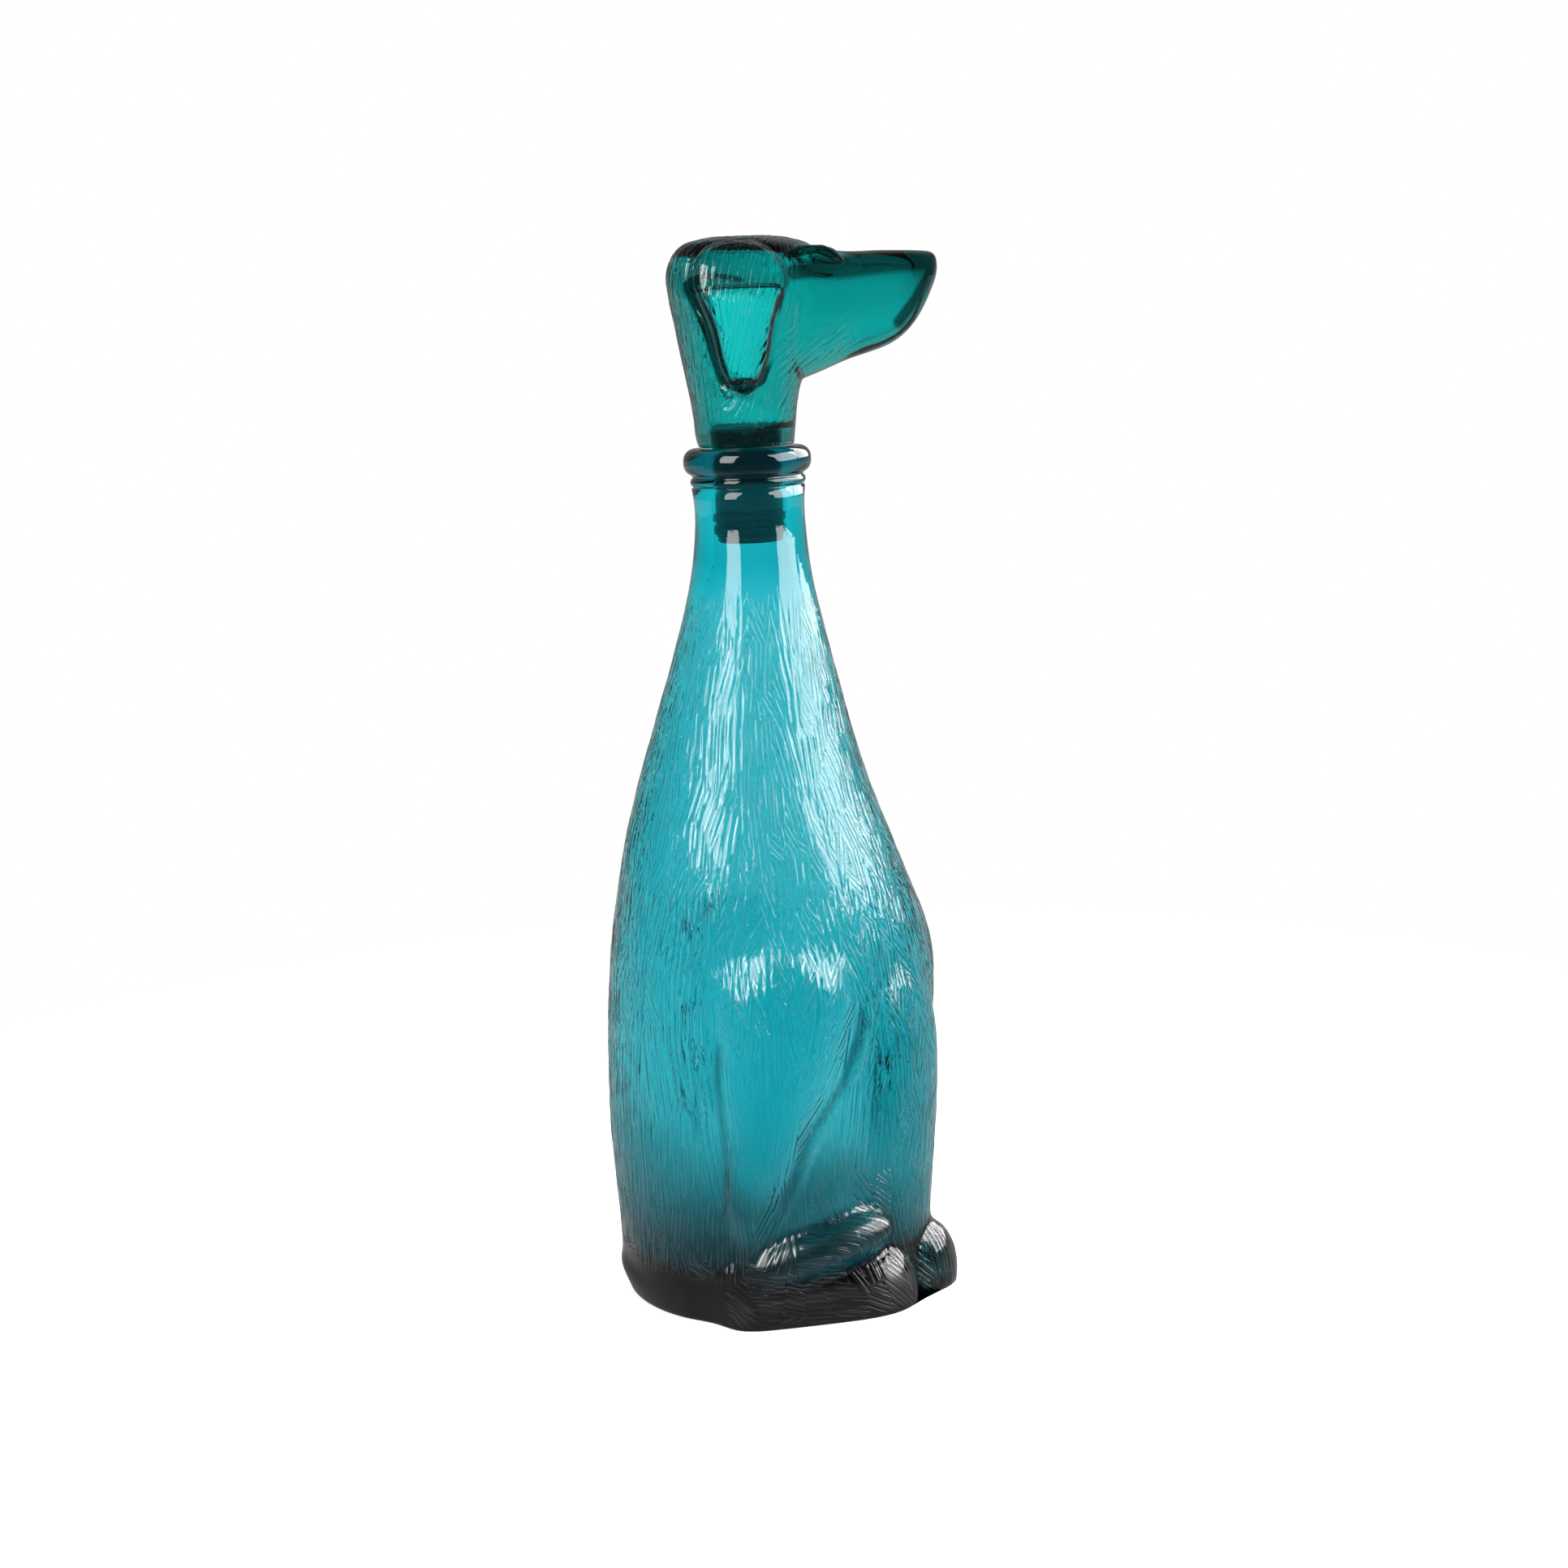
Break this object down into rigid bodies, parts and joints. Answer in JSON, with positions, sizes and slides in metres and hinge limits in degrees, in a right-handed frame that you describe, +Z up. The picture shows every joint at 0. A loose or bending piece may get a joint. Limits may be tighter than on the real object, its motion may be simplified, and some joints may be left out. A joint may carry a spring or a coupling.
{
  "type": "figural liquor decanter",
  "caption": "Glass liquor decanter shaped as a sitting long-eared dog; its hollow head is the stopper, with a plug and seal in the neck.",
  "frame": {"origin": "middle of the foot on the table, on the axis of the neck", "axes": "+Z up along the neck, +X the way the dog looks, +Y its left side"},
  "size_m": [0.1285, 0.1131, 0.3699],
  "materials": {
    "body_glass": "teal glass with fine moulded hair, fire polished",
    "head_glass": "green teal glass, smooth muzzle and moulded hair",
    "plug_plastic": "dark moulded plastic, gloss",
    "glue": "set glue, dark with pale specks",
    "seal_plastic": "soft dark plastic with rounded ribs"
  },
  "bodies": {
    "bottle": {"bottle": "body_glass"},
    "seal": {"seal_sleeve": "seal_plastic"},
    "stopper": {"stopper_head": "head_glass", "stopper_plug": "plug_plastic", "glue_bed": "glue"}
  },
  "joints": [
    {"name": "stopper_lift", "type": "slide", "parent": "bottle", "child": "seal", "axis": [0, 0, 1], "range_m": [0, 0.06]},
    {"name": "stopper_turn", "type": "hinge", "parent": "seal", "child": "stopper", "pos_m": [0, 0, 0.28], "axis": [0, 0, 1], "continuous": true}
  ]
}
